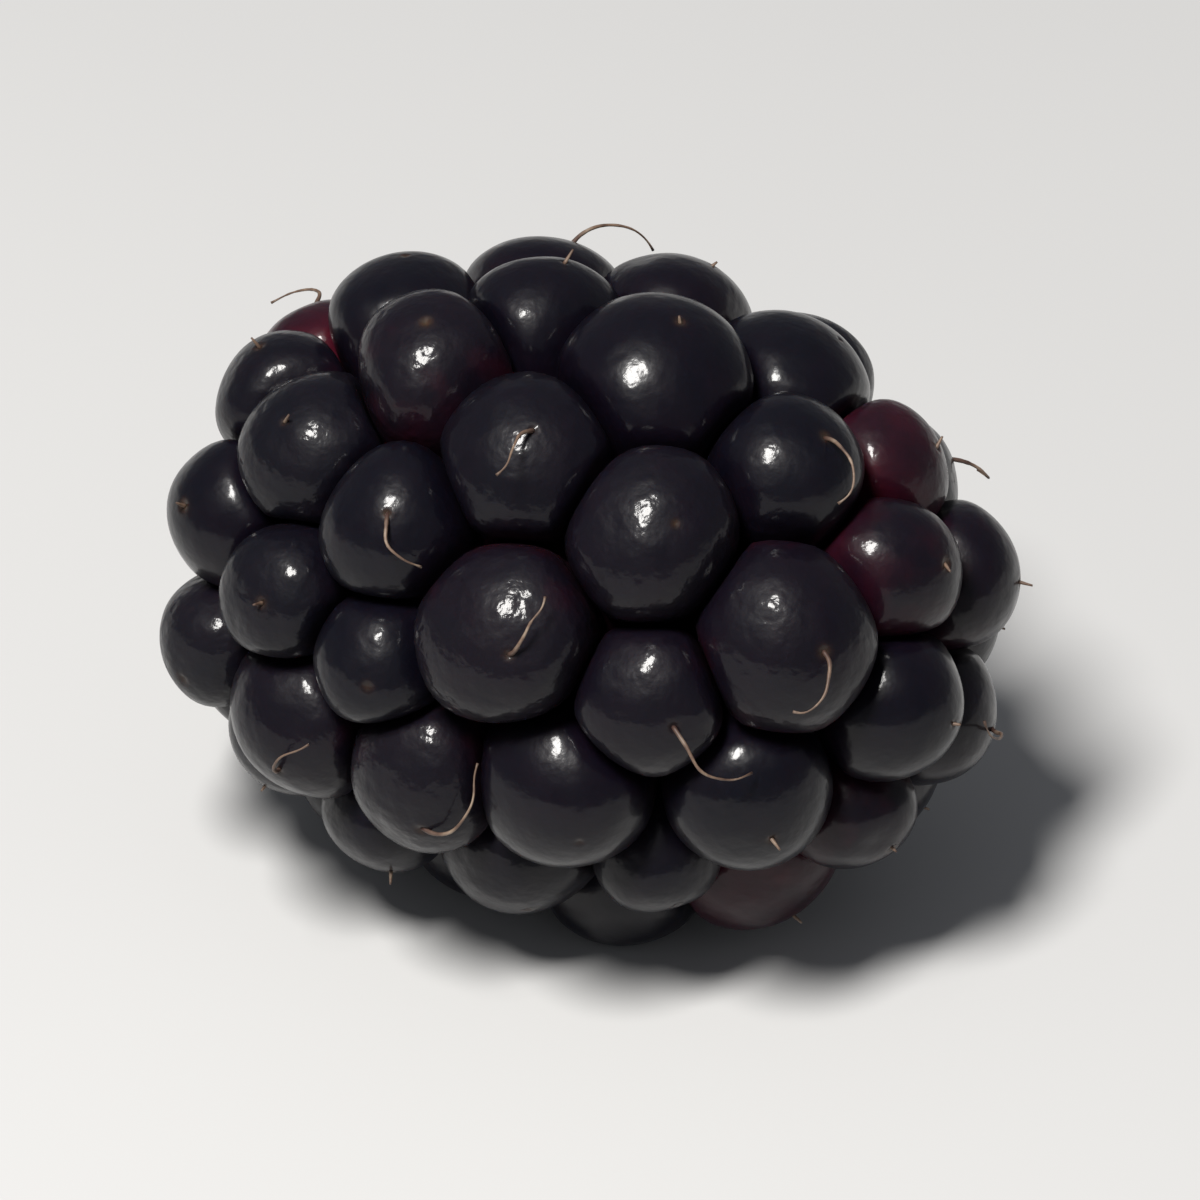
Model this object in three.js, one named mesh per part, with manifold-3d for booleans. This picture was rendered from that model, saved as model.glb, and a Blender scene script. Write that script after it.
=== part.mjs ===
// A ripe bramble berry, picked without its calyx and lying on its side.
// The drupelets are one fused body, and the pale end of the receptacle fills a seat at the stem end.
// Millimetres, +Z up. The berry is built along X, tip at +X, and then laid on the plane z = 0.
import * as THREE from "three";
import { mergeVertices } from "three/addons/utils/BufferGeometryUtils.js";
import Module from "manifold-3d";

// The bed: the rounded body on whose surface the middles of all drupelets lie.
const TIP_HALF = 11.6; // from its widest ring to its tip
const STEM_HALF = 11.2; // from the widest ring to where it would close behind the stem
const BED_RADIUS = 7.5; // at the widest ring
const TIP_FULLNESS = 2.15; // 2 is an ellipse, and more is blunter
const STEM_FULLNESS = 2.2;
const LAST_RING_X = -9.1; // the drupelets stop about here, short of the stem
const LAST_RING_SPREAD = 0.35; // and each up to this much sooner or later

// The drupelets.
const DRUPELETS = 60;
const PITCH = 4.75; // between two neighbours' middles, before they press together
const HALF_WIDTH = 3.12;
const REACH = 3.25; // from the middle out to the crown
const ROOT = 3.6; // from the middle inwards, well into the core
const SIZE_SPREAD = 0.13; // a drupelet is up to this share larger or smaller than its neighbours
const SMALLER_AT_TIP = 0.14; // share of its size that a drupelet loses towards the tip
const SMALLER_AT_STEM = 0.22; // and towards the stem
const DOME_SIDES = 14;
const DOME_ANGLES = [102, 72, 54, 36, 18, 0].map(THREE.MathUtils.degToRad); // rings, up to the crown

// Where they grow: a golden-angle spiral, shaken, in which neighbours then make room for each other.
const GOLDEN_ANGLE = Math.PI * (3 - Math.sqrt(5));
const SEED = 16;
const SHAKE = 0.4; // radians round the axis, at most
const SETTLING_STEPS = 240;
const GIVE = 0.3; // share of an overlap that a drupelet gives way in one step

// The core that the drupelets' roots end in, and the receptacle's end in its seat.
const CORE_DEPTH = 0.2; // under the bed
const CORE_BACK_X = -9.0;
const CORE_SIDES = 24;
const CORE_RINGS = 10;
const RECEPTACLE_RADIUS = 2.15;
const RECEPTACLE_INNER_RADIUS = 1.8;
const RECEPTACLE_LENGTH = 3.9;
const RECEPTACLE_BACK_X = -10.1;
const RECEPTACLE_RIM = 0.35; // height of its rounded edge
const RECEPTACLE_DISH = 0.25; // depth of the hollow in its face
const RECEPTACLE_SIDES = 28;
const SEAT_GAP = 0.3; // left free round the receptacle

// How it lies: turned until several low drupelets carry it, each pressed a little flat.
const ROLL = THREE.MathUtils.degToRad(315); // about the long axis
const NOD = THREE.MathUtils.degToRad(-1); // below zero, the tip is raised a little
const PRESSED_FLAT = 0.3;

const AXIS_UP = new THREE.Vector3(0, 1, 0); // a lathe turns its profile about this
const wasm = await Module();
wasm.setup();

// Repeatable random numbers from 0 to 1.
let state = SEED;
function random() {
  state = (state * 1664525 + 1013904223) % 2 ** 32;
  return state / 2 ** 32;
}

function either(spread) {
  return spread * (2 * random() - 1);
}

// The bed's half-length and fullness on the side of the widest ring where x lies.
function bedEnd(x) {
  return x > 0 ? [TIP_HALF, TIP_FULLNESS] : [STEM_HALF, STEM_FULLNESS];
}

// The radius at x of a bed that is smaller by inset all round.
function bedRadius(x, inset = 0) {
  const [half, fullness] = bedEnd(x);
  const share = Math.min(1, Math.abs(x) / (half - inset));
  return (BED_RADIUS - inset) * (1 - share ** fullness) ** (1 / fullness);
}

// Moves a point along its ray until it lies on the bed, and forward to x = last if it is behind that.
function ontoBed(point, last) {
  const [half, fullness] = bedEnd(point.x);
  const along = Math.abs(point.x) / half;
  const across = Math.hypot(point.y, point.z) / BED_RADIUS;
  point.divideScalar((along ** fullness + across ** fullness) ** (1 / fullness));
  if (point.x < last) {
    const spread = bedRadius(last) / Math.hypot(point.y, point.z);
    point.set(last, point.y * spread, point.z * spread);
  }
  return point;
}

// The direction straight out of the bed at a point on it.
function outward(point) {
  const [half, fullness] = bedEnd(point.x);
  const round = Math.hypot(point.y, point.z);
  const along = (Math.abs(point.x) / half) ** (fullness - 1) / half;
  const across = (round / BED_RADIUS) ** (fullness - 1) / BED_RADIUS / round;
  return new THREE.Vector3(Math.sign(point.x) * along, across * point.y, across * point.z).normalize();
}

// One drupelet for each step of the spiral, from the tip to the stem.
function sprout() {
  return Array.from({ length: DRUPELETS }, (_, i) => {
    const along = 1 - (2 * (i + 0.5)) / DRUPELETS;
    const across = Math.sqrt(1 - along * along);
    const smaller = along > 0 ? SMALLER_AT_TIP : SMALLER_AT_STEM;
    const size = (1 - smaller * along * along) * (1 + either(SIZE_SPREAD));
    const turn = i * GOLDEN_ANGLE + either(SHAKE);
    const last = LAST_RING_X + either(LAST_RING_SPREAD);
    const y = BED_RADIUS * across * Math.cos(turn);
    const z = BED_RADIUS * across * Math.sin(turn);
    return { size, last, middle: ontoBed(new THREE.Vector3(TIP_HALF * along, y, z), last) };
  });
}

// How far neighbour b pushes drupelet a away, which is nothing unless they are too close.
function push(a, b) {
  const away = a.middle.clone().sub(b.middle);
  const distance = away.length();
  const wanted = (PITCH * (a.size + b.size)) / 2;
  return away.multiplyScalar((GIVE * Math.max(0, wanted - distance)) / distance);
}

function settle(drupelets) {
  for (let step = 0; step < SETTLING_STEPS; step += 1) {
    const moves = drupelets.map((a) =>
      drupelets.reduce((sum, b) => (a === b ? sum : sum.add(push(a, b))), new THREE.Vector3()),
    );
    drupelets.forEach(({ middle, last }, i) => ontoBed(middle.add(moves[i]), last));
  }
  return drupelets;
}

// A closed geometry as a solid: only its positions count, and corners in one place are merged.
function solidOf(geometry) {
  const bare = new THREE.BufferGeometry();
  bare.setAttribute("position", geometry.getAttribute("position"));
  bare.setIndex(geometry.getIndex());
  const merged = mergeVertices(bare, 1e-4);
  const vertProperties = new Float32Array(merged.getAttribute("position").array);
  const triVerts = new Uint32Array(merged.getIndex().array);
  return new wasm.Manifold(new wasm.Mesh({ numProp: 3, vertProperties, triVerts }));
}

function geometryOf(solid) {
  const { vertProperties, triVerts } = solid.getMesh();
  const geometry = new THREE.BufferGeometry();
  geometry.setAttribute("position", new THREE.BufferAttribute(vertProperties, 3));
  geometry.setIndex(new THREE.BufferAttribute(triVerts, 1));
  geometry.computeVertexNormals();
  return geometry;
}

// A profile of [x, radius] corners, turned about the berry's long axis.
function turned(corners, sides) {
  const profile = corners.map(([x, radius]) => new THREE.Vector2(radius, x));
  return new THREE.LatheGeometry(profile, sides).rotateZ(-Math.PI / 2);
}

// A dome whose sides taper from its widest ring to a point in the core.
function drupeletSolid({ size, middle }) {
  const rings = DOME_ANGLES.map(
    (angle) => new THREE.Vector2(size * HALF_WIDTH * Math.sin(angle), size * REACH * Math.cos(angle)),
  );
  const dome = new THREE.LatheGeometry([new THREE.Vector2(0, -ROOT), ...rings], DOME_SIDES);
  dome.applyQuaternion(new THREE.Quaternion().setFromUnitVectors(AXIS_UP, outward(middle)));
  dome.translate(middle.x, middle.y, middle.z);
  return solidOf(dome);
}

function coreSolid() {
  const front = TIP_HALF - CORE_DEPTH;
  const rings = Array.from({ length: CORE_RINGS }, (_, i) => {
    const x = CORE_BACK_X + (front - CORE_BACK_X) * Math.sin((i * Math.PI) / (2 * CORE_RINGS));
    return [x, bedRadius(x, CORE_DEPTH)];
  });
  return solidOf(turned([[CORE_BACK_X, 0], ...rings, [front, 0]], CORE_SIDES));
}

// The receptacle's end, a short plug with a rounded rim and a slightly hollow face.
function receptacleGeometry() {
  const front = RECEPTACLE_BACK_X + RECEPTACLE_LENGTH;
  const corners = [
    [RECEPTACLE_BACK_X + RECEPTACLE_DISH, 0],
    [RECEPTACLE_BACK_X, RECEPTACLE_RADIUS - 2 * RECEPTACLE_RIM],
    [RECEPTACLE_BACK_X + RECEPTACLE_RIM, RECEPTACLE_RADIUS],
    [front, RECEPTACLE_INNER_RADIUS],
    [front, 0],
  ];
  return turned(corners, RECEPTACLE_SIDES);
}

// What is cut away for the receptacle, open towards the stem.
function seatSolid() {
  const open = LAST_RING_X - REACH;
  const front = RECEPTACLE_BACK_X + RECEPTACLE_LENGTH + SEAT_GAP;
  const corners = [
    [open, 0],
    [open, RECEPTACLE_RADIUS + SEAT_GAP],
    [RECEPTACLE_BACK_X + RECEPTACLE_RIM, RECEPTACLE_RADIUS + SEAT_GAP],
    [front, RECEPTACLE_INNER_RADIUS + SEAT_GAP],
    [front, 0],
  ];
  return solidOf(turned(corners, RECEPTACLE_SIDES));
}

// How far a drupelet reaches in a direction from its middle, as the ellipsoid that its dome follows.
function reachTowards(direction, { size, middle }) {
  const facing = outward(middle).dot(direction);
  return size * Math.sqrt(HALF_WIDTH ** 2 + (REACH ** 2 - HALF_WIDTH ** 2) * facing ** 2);
}

// The furthest that any drupelet goes in a direction, measured from the berry's own origin.
function extent(drupelets, direction) {
  return Math.max(...drupelets.map((d) => d.middle.dot(direction) + reachTowards(direction, d)));
}

// A group that lays the berry down: its box is centred on the origin and the lowest crowns dip below z = 0.
function layDown(drupelets) {
  const group = new THREE.Group();
  group.rotation.set(ROLL, NOD, 0, "YXZ");
  const back = group.quaternion.clone().invert();
  const far = (x, y, z) => extent(drupelets, new THREE.Vector3(x, y, z).applyQuaternion(back));
  group.position.x = (far(-1, 0, 0) - far(1, 0, 0)) / 2;
  group.position.y = (far(0, -1, 0) - far(0, 1, 0)) / 2;
  group.position.z = far(0, 0, -1) - PRESSED_FLAT;
  group.updateMatrixWorld(true);
  return group;
}

// Everything below the plane that the berry lies on, in the berry's own frame.
function groundSolid(lying) {
  const side = 4 * (TIP_HALF + REACH);
  const block = new THREE.BoxGeometry(side, side, side).translate(0, 0, -side / 2);
  return solidOf(block.applyMatrix4(lying.matrixWorld.clone().invert()));
}

// Core and drupelets in one body. The largest is kept: hollows that the fusing seals are bodies too.
function fuse(drupelets) {
  const bodies = wasm.Manifold.union([coreSolid(), ...drupelets.map(drupeletSolid)]).decompose();
  return bodies.reduce((largest, body) => (body.volume() > largest.volume() ? body : largest));
}

function subPart(name, geometry, material) {
  const mesh = new THREE.Mesh(geometry, new THREE.MeshStandardMaterial({ metalness: 0, ...material }));
  mesh.name = name;
  return mesh;
}

const drupelets = settle(sprout());
const lying = layDown(drupelets);
const flesh = fuse(drupelets).subtract(seatSolid()).subtract(groundSolid(lying));
lying.add(subPart("drupelets", geometryOf(flesh), { color: 0x1a131d, roughness: 0.22 }));
lying.add(subPart("receptacle", receptacleGeometry(), { color: 0xd9d2a8, roughness: 0.75 }));

const berry = new THREE.Group();
berry.add(lying);
export default berry;
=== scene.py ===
# %% [markdown]
# # A bramble berry, drupelet by drupelet
# A bramble berry is not one smooth fruit. It is some sixty small juicy ones, the drupelets, grown
# together on a pale core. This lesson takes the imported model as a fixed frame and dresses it: it
# grows each drupelet as its own pressed form, gives the skin its depth and gloss, finishes the
# scar where the berry left its stalk, and adds the few dried hairs that stay on a ripe one.

import math

import bpy
import numpy as np
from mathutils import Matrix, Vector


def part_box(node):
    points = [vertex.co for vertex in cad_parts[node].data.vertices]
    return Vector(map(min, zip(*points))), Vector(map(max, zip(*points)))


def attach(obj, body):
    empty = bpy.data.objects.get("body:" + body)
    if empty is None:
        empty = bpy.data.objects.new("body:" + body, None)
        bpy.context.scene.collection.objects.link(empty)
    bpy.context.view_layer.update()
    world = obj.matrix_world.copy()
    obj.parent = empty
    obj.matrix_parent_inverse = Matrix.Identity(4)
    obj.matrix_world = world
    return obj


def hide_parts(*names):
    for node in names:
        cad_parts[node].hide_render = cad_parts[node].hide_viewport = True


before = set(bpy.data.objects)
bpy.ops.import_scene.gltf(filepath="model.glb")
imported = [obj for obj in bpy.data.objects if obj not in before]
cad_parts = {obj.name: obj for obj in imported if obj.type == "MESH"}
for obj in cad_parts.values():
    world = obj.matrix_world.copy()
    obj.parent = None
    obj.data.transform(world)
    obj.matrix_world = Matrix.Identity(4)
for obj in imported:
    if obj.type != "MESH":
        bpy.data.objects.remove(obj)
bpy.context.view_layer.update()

# %% [markdown]
# ## Where the drupelets grow
# The middles of all drupelets lie on one rounded body, the bed, which is blunt at the stem and a
# little narrower at the tip. A stretched sphere could be that body, but only its surface is needed,
# so it is a formula: a superellipse turned about the berry's axis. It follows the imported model's own
# measures, in millimetres, so that every fine drupelet lands on its plain one.

# %% The bed
TIP_HALF = 11.6  # from its widest ring to its tip
STEM_HALF = 11.2  # from the widest ring to where it would close behind the stem
BED_RADIUS = 7.5  # at the widest ring
TIP_FULLNESS = 2.15  # 2 is an ellipse, and more is blunter
STEM_FULLNESS = 2.2


def bed_end(x):
    """Half-length and fullness of the bed on the side where x lies."""
    tip = x > 0
    return np.where(tip, TIP_HALF, STEM_HALF), np.where(tip, TIP_FULLNESS, STEM_FULLNESS)


def bed_radius(x, inset=0.0):
    """The radius at x of a bed that is smaller by inset all round."""
    half, fullness = bed_end(x)
    share = np.minimum(1, np.abs(x) / (half - inset))
    return (BED_RADIUS - inset) * (1 - share**fullness) ** (1 / fullness)


def onto_bed(points, last):
    """Moves points along their rays onto the bed, and forward to x = last if they are behind it."""
    half, fullness = bed_end(points[:, 0])
    along = np.abs(points[:, 0]) / half
    across = np.hypot(points[:, 1], points[:, 2]) / BED_RADIUS
    points = points / ((along**fullness + across**fullness) ** (1 / fullness))[:, None]
    behind = points[:, 0] < last
    spread = bed_radius(last[behind]) / np.hypot(points[behind, 1], points[behind, 2])
    points[behind, 0] = last[behind]
    points[behind, 1] *= spread
    points[behind, 2] *= spread
    return points


def out_of_bed(points):
    """The direction straight out of the bed at points on it."""
    half, fullness = bed_end(points[:, 0])
    radius = np.hypot(points[:, 1], points[:, 2])
    along = np.sign(points[:, 0]) * (np.abs(points[:, 0]) / half) ** (fullness - 1) / half
    across = (radius / BED_RADIUS) ** (fullness - 1) / BED_RADIUS / radius
    normal = np.stack([along, across * points[:, 1], across * points[:, 2]], axis=1)
    return normal / np.linalg.norm(normal, axis=1, keepdims=True)


print("Half-way to its tip the bed is", round(2 * bed_radius(TIP_HALF / 2), 1), "mm across")

# %% [markdown]
# The drupelets could be placed by hand, or scattered at random, but a plant does neither. It sets them
# on a spiral, each a golden angle further round than the one before, which fills a round body evenly
# and never lines them up. A little shaking and uneven sizes keep it from looking machine-made. They
# come from the model's own seed, so both berries are the same one.

# %% Sprout along a spiral
DRUPELETS = 60
SIZE_SPREAD = 0.13  # a drupelet is up to this share larger or smaller than its neighbours
SMALLER_AT_TIP = 0.14  # share of its size that a drupelet loses towards the tip
SMALLER_AT_STEM = 0.22  # and towards the stem
LAST_RING_X = -9.1  # the drupelets stop about here, short of the stem
LAST_RING_SPREAD = 0.35  # and each up to this much sooner or later
GOLDEN_ANGLE = math.pi * (3 - math.sqrt(5))
SHAKE = 0.4  # radians round the axis, at most
SEED = 16


def draws(seed):
    """The model's own repeatable random numbers, from 0 to 1."""
    state = seed
    while True:
        state = (state * 1664525 + 1013904223) % 2**32
        yield state / 2**32


def sprout():
    """Each drupelet's size, the last place along the berry that it may take, and its middle."""
    draw = draws(SEED)
    sizes, last, points = [], [], []
    for i in range(DRUPELETS):
        along = 1 - 2 * (i + 0.5) / DRUPELETS
        across = math.sqrt(1 - along * along)
        smaller = SMALLER_AT_TIP if along > 0 else SMALLER_AT_STEM
        sizes.append((1 - smaller * along * along) * (1 + SIZE_SPREAD * (2 * next(draw) - 1)))
        turn = i * GOLDEN_ANGLE + SHAKE * (2 * next(draw) - 1)
        last.append(LAST_RING_X + LAST_RING_SPREAD * (2 * next(draw) - 1))
        y, z = BED_RADIUS * across * math.cos(turn), BED_RADIUS * across * math.sin(turn)
        points.append([TIP_HALF * along, y, z])
    last = np.array(last)
    return np.array(sizes), last, onto_bed(np.array(points), last)


sizes, last, middles = sprout()
smallest, largest = float(sizes.min()), float(sizes.max())
print("Drupelets of", round(smallest, 2), "to", round(largest, 2), "times middling size")

# %% [markdown]
# Sprouted like this, some drupelets overlap and others stand apart. On the plant they swell and push
# each other aside. A physics simulation could do that, but a short loop is enough, and it ends the
# same way on every run: in each step, every pair that is too close moves a little apart.

# %% Settle
PITCH = 4.75  # between two neighbours' middles, before they press together
SETTLING_STEPS = 240
GIVE = 0.3  # share of an overlap that a drupelet gives way in one step


def settle(sizes, last, points):
    """Neighbours that are too close push each other along the bed, a little in each step."""
    wanted = PITCH * (sizes[:, None] + sizes[None, :]) / 2
    for _ in range(SETTLING_STEPS):
        away = points[:, None] - points[None, :]
        distance = np.linalg.norm(away, axis=2)
        np.fill_diagonal(distance, np.inf)
        overlap = np.where(distance < wanted, wanted - distance, 0.0)
        share = GIVE * overlap / distance
        points = onto_bed(points + (away * share[:, :, None]).sum(axis=1), last)
    return points


middles = settle(sizes, last, middles)
outwards = out_of_bed(middles)
print(DRUPELETS, "drupelets, from", round(float(middles[:, 0].min()), 2), "to",
      round(float(middles[:, 0].max()), 2), "mm along the berry")

# %% [markdown]
# ## Laying it down
# The berry was built along its own axis. To lie on a table it is rolled about that axis, and its tip
# is raised or lowered a little, until several low drupelets carry it. Those press a little flat, as
# ripe fruit does. It could be dropped in a rigid body simulation, but it has to lie just as the packed
# model does, so the two angles are given.

# %% Turn the berry and set it on the ground
HALF_WIDTH = 3.12  # of a middling drupelet
REACH = 3.25  # from its middle out to its crown
ROLL = math.radians(315)  # about the long axis
NOD = math.radians(-1)  # below zero, the tip is raised a little
PRESSED_FLAT = 0.3


def turning(roll, nod):
    """The matrix that rolls the berry and then nods its tip."""
    cr, sr, cn, sn = math.cos(roll), math.sin(roll), math.cos(nod), math.sin(nod)
    about_x = np.array([[1, 0, 0], [0, cr, -sr], [0, sr, cr]])
    about_y = np.array([[cn, 0, sn], [0, 1, 0], [-sn, 0, cn]])
    return about_y @ about_x


def furthest(direction):
    """How far any drupelet reaches in a direction, measured from the world's origin."""
    facing = outwards @ direction
    reach = sizes * np.sqrt(HALF_WIDTH**2 + (REACH**2 - HALF_WIDTH**2) * facing**2)
    return float((middles @ direction + reach).max())


LAID = turning(ROLL, NOD)
middles, outwards = middles @ LAID.T, outwards @ LAID.T
east, north, up = np.eye(3)
SHIFT = np.array([
    (furthest(-east) - furthest(east)) / 2,
    (furthest(-north) - furthest(north)) / 2,
    furthest(-up) - PRESSED_FLAT,
])
middles = middles + SHIFT
TIP_WARDS = LAID @ east  # the berry's long axis as it lies
print("Shifted by", SHIFT.round(3), "mm; lowest middle at", round(float(middles[:, 2].min()), 2), "mm")


def laid(points):
    """Points of the berry's own frame, in millimetres, as it lies."""
    return np.asarray(points, float) @ LAID.T + SHIFT


# %% [markdown]
# ## The form of one drupelet
# A row of spheres that cut through each other would look like a toy. A real drupelet is a soft
# bag of juice that swells until it meets its neighbours. There it turns in sharply and both skins
# run side by side down into a narrow crease. Cloth simulation could find that form, but a formula is
# quicker and steadier. In every direction the skin stands at the smallest of several distances: that
# of its free, egg-shaped form, and those of the walls halfway to each neighbour. A wall is flat only
# between two drupelets that are equally plump. Otherwise it curves into the slacker one. A smooth
# minimum rounds the edge between wall and free form.

# %% Walls between neighbours
NEIGHBOUR_REACH = 1.75  # in pitches; what is further away doesn't press
CREASE_GAP = 0.04  # between two skins that run side by side
WALL_CURVE = 0.14  # per millimetre, between the plumpest drupelet and a middling one
EDGE_SHARPNESS = 10.0  # of the smooth minimum
plumpness = np.random.default_rng(3).uniform(-1, 1, DRUPELETS)


def walls_of(i):
    """Directions to the neighbours of drupelet i, and how far off and how curved the walls are."""
    away = middles - middles[i]
    distance = np.linalg.norm(away, axis=1)
    near = (distance > 0) & (distance < NEIGHBOUR_REACH * PITCH)
    own_share = sizes[i] / (sizes[i] + sizes[near])
    curves = WALL_CURVE * (plumpness[i] - plumpness[near])
    return away[near] / distance[near, None], distance[near] * own_share - CREASE_GAP / 2, curves


def distance_to_walls(directions, i):
    """How far each wall of drupelet i is in each direction. A wall is a shallow bowl, a paraboloid."""
    towards, distances, curves = walls_of(i)
    facing = np.maximum(directions @ towards.T, 1e-3)
    # Along a direction, the wall is at the r that solves
    # r * facing + curve * (1 - facing**2) * r**2 / 2 = distance.
    root = np.sqrt(np.maximum(facing**2 + 2 * curves * distances * (1 - facing**2), 0))
    return (2 * distances / (facing + root)).T


def smooth_smallest(distances):
    return (distances**-EDGE_SHARPNESS).sum(axis=0) ** (-1 / EDGE_SHARPNESS)


walls = [len(walls_of(i)[1]) for i in range(DRUPELETS)]
print("A drupelet has", min(walls), "to", max(walls), "walls")

# %% [markdown]
# Without neighbours a drupelet would be egg-shaped. Its points lie on rings round a pole near its
# crown, as on a globe. The rings could be spaced evenly, but they crowd towards the pole, where the
# smallest forms are, and they end deep in the crease, where nothing is seen.

# %% A free drupelet
ROUND = 42  # points round a drupelet
RINGS = 39  # from the pit to the root
RING_CROWDING = 1.4  # above 1, rings crowd towards the pit
SKIN_ENDS = math.radians(118)  # from the pit, well down in the crease


def unit(vector):
    return vector / np.linalg.norm(vector)


def skin_directions(pole):
    """Unit vectors on rings round a pole, and their angles from it."""
    side = unit(np.cross(pole, TIP_WARDS + 0.1 * up))
    other = np.cross(pole, side)
    theta = SKIN_ENDS * (np.arange(1, RINGS + 1) / RINGS) ** RING_CROWDING
    phi = np.arange(ROUND) * 2 * math.pi / ROUND
    theta, phi = [a.ravel() for a in np.meshgrid(theta, phi, indexing="ij")]
    around = np.cos(phi)[:, None] * side + np.sin(phi)[:, None] * other
    return np.cos(theta)[:, None] * pole + np.sin(theta)[:, None] * around, theta


def free_radius(directions, outward, size):
    """How far the skin of a lone, egg-shaped drupelet is from its middle in each direction."""
    facing = (directions @ outward) ** 2
    return size / np.sqrt(facing / REACH**2 + (1 - facing) / HALF_WIDTH**2)


print("Free drupelets are", 2 * HALF_WIDTH, "mm across and reach out", REACH, "mm, times their size")

# %% [markdown]
# Copies of one drupelet, however well made, would be noticed at once. Real ones swell unevenly and
# fill the gaps that their neighbours leave, and some have lost a little juice and are dented. A
# displacement texture would ripple them all alike. So each draws a few waves of its own, and perhaps
# a dent, and these change how far out its skin is.

# %% What makes each one different
SWELLS = 5
SWELL_HEIGHT = 0.011  # share of the radius, for each swell
SWELL_PACE = (2.0, 4.5)  # more is narrower
STRETCH = 0.06  # share by which one way across is commonly longer than the other
FILL = 0.07  # share by which its flanks swell into the gaps that are left
FLANK = 0.6  # flanks lie where the cosine of the angle from straight out is below this
DENT_SHARE = 0.5  # of the drupelets have a shallow dent
DENT_ASIDE = 0.45  # how far from straight out it commonly is
DENT_DEPTH = (0.03, 0.11)
DENT_WIDTH = (0.2, 0.34)  # radians
shape_draw = np.random.default_rng(7)


def swelling(directions):
    """Shallow uneven swells, different on every drupelet."""
    height = np.ones(len(directions))
    for _ in range(SWELLS):
        axis = unit(shape_draw.normal(size=3))
        pace, phase = shape_draw.uniform(*SWELL_PACE), shape_draw.uniform(0, 2 * math.pi)
        height += SWELL_HEIGHT * np.sin(pace * directions @ axis + phase)
    long_way = unit(shape_draw.normal(size=3))
    return height * (1 + shape_draw.normal(0, STRETCH) * ((directions @ long_way) ** 2 - 1 / 3))


def filling(directions, outward):
    """The flanks swell into whatever gap the neighbours leave; the crown doesn't."""
    return 1 + FILL * np.clip(1 - (directions @ outward) / FLANK, 0, 1) ** 2


def dent(directions, outward):
    """How deep a soft dent goes in each direction, on a drupelet that has lost a little juice."""
    aim = unit(outward + shape_draw.normal(0, DENT_ASIDE, 3))
    width, depth = shape_draw.uniform(*DENT_WIDTH), shape_draw.uniform(*DENT_DEPTH)
    has_one = shape_draw.random() < DENT_SHARE
    return has_one * depth * np.exp(-2 * (1 - directions @ aim) / width**2)


print("Flanks swell by up to", round(100 * FILL), "% where their neighbours leave a gap")

# %% [markdown]
# In flower a thread, the style, grew from every drupelet. Where it was, a tiny pit with a raised rim
# is left close to the crown. Nobody would sculpt it sixty times, and there is no need to: the rings
# already run round it, so the skin only has to sink at the pole and rise a little round it.

# %% The pit, and one drupelet put together
PIT_LEAN = (math.radians(6), math.radians(20))  # from straight out towards the berry's tip
PIT_RADIUS = (0.09, 0.16)
PIT_DEPTH = 0.4  # share of its radius
PIT_RIM = 0.08
PIT_RIM_AT = 1.6  # in radii from its middle
PIT_RIM_WIDTH = 0.3  # in squared radii, as the next
SCAR_WIDTH = 1.6
SCAR_STRENGTH = (0.15, 0.95)
ROOT_DEPTH = 3.0


def drupelet_points(i):
    """The skin's points from the pit to the root, how scarred each is, and where the pit faces."""
    lean = shape_draw.uniform(*PIT_LEAN)
    tilt = unit(TIP_WARDS - (TIP_WARDS @ outwards[i]) * outwards[i])
    pole = math.cos(lean) * outwards[i] + math.sin(lean) * tilt
    directions, theta = skin_directions(pole)
    directions = np.vstack([pole, directions])
    theta = np.concatenate([[0.0], theta])
    radius = free_radius(directions, outwards[i], sizes[i]) * swelling(directions)
    radius = radius * filling(directions, outwards[i]) - dent(directions, outwards[i])
    radius = smooth_smallest(np.vstack([radius, distance_to_walls(directions, i)]))
    pit_radius, scarred = shape_draw.uniform(*PIT_RADIUS), shape_draw.uniform(*SCAR_STRENGTH)
    from_pit = theta * radius / pit_radius
    rim, hollow = np.exp(-((from_pit - PIT_RIM_AT) ** 2) / PIT_RIM_WIDTH), np.exp(-(from_pit**2))
    radius += pit_radius * (PIT_RIM * rim - PIT_DEPTH * hollow)
    skin = middles[i] + directions * radius[:, None]
    root = middles[i] - ROOT_DEPTH * outwards[i]
    scar = np.append(scarred * np.exp(-(from_pit**2) / SCAR_WIDTH), 0.0)
    return np.vstack([skin, root]), scar, pole


def on_ground(points, softness=0.05):
    """Nothing dips under the table: what would is pressed flat on it."""
    points = points.copy()
    points[:, 2] = (points[:, 2] + np.sqrt(points[:, 2] ** 2 + softness**2)) / 2
    return points


print("A drupelet has", 2 + RINGS * ROUND, "points")

# %% [markdown]
# Points alone show nothing, so faces join them. A sphere from Blender's menu would bring its own
# points in its own order. Here the order is known, ring after ring from the pit to the root, so the
# faces can simply be counted off: quads between the rings, and a fan of triangles at each end.

# %% The faces of a drupelet
def ring_faces(rings, around, first=0):
    """Quads between neighbouring rings of points, numbered from first."""
    faces = []
    for r in range(rings - 1):
        a, b = first + r * around, first + (r + 1) * around
        faces += [(a + k, b + k, b + (k + 1) % around, a + (k + 1) % around) for k in range(around)]
    return faces


def drupelet_faces(first):
    """The pit's fan, the rings' quads and the root's fan."""
    start, last = first + 1, first + 1 + (RINGS - 1) * ROUND
    root = first + 1 + RINGS * ROUND
    fan = [(first, start + k, start + (k + 1) % ROUND) for k in range(ROUND)]
    close = [(last + k, root, last + (k + 1) % ROUND) for k in range(ROUND)]
    return fan + ring_faces(RINGS, ROUND, start) + close


print("A drupelet has", len(drupelet_faces(0)), "faces")

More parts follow.
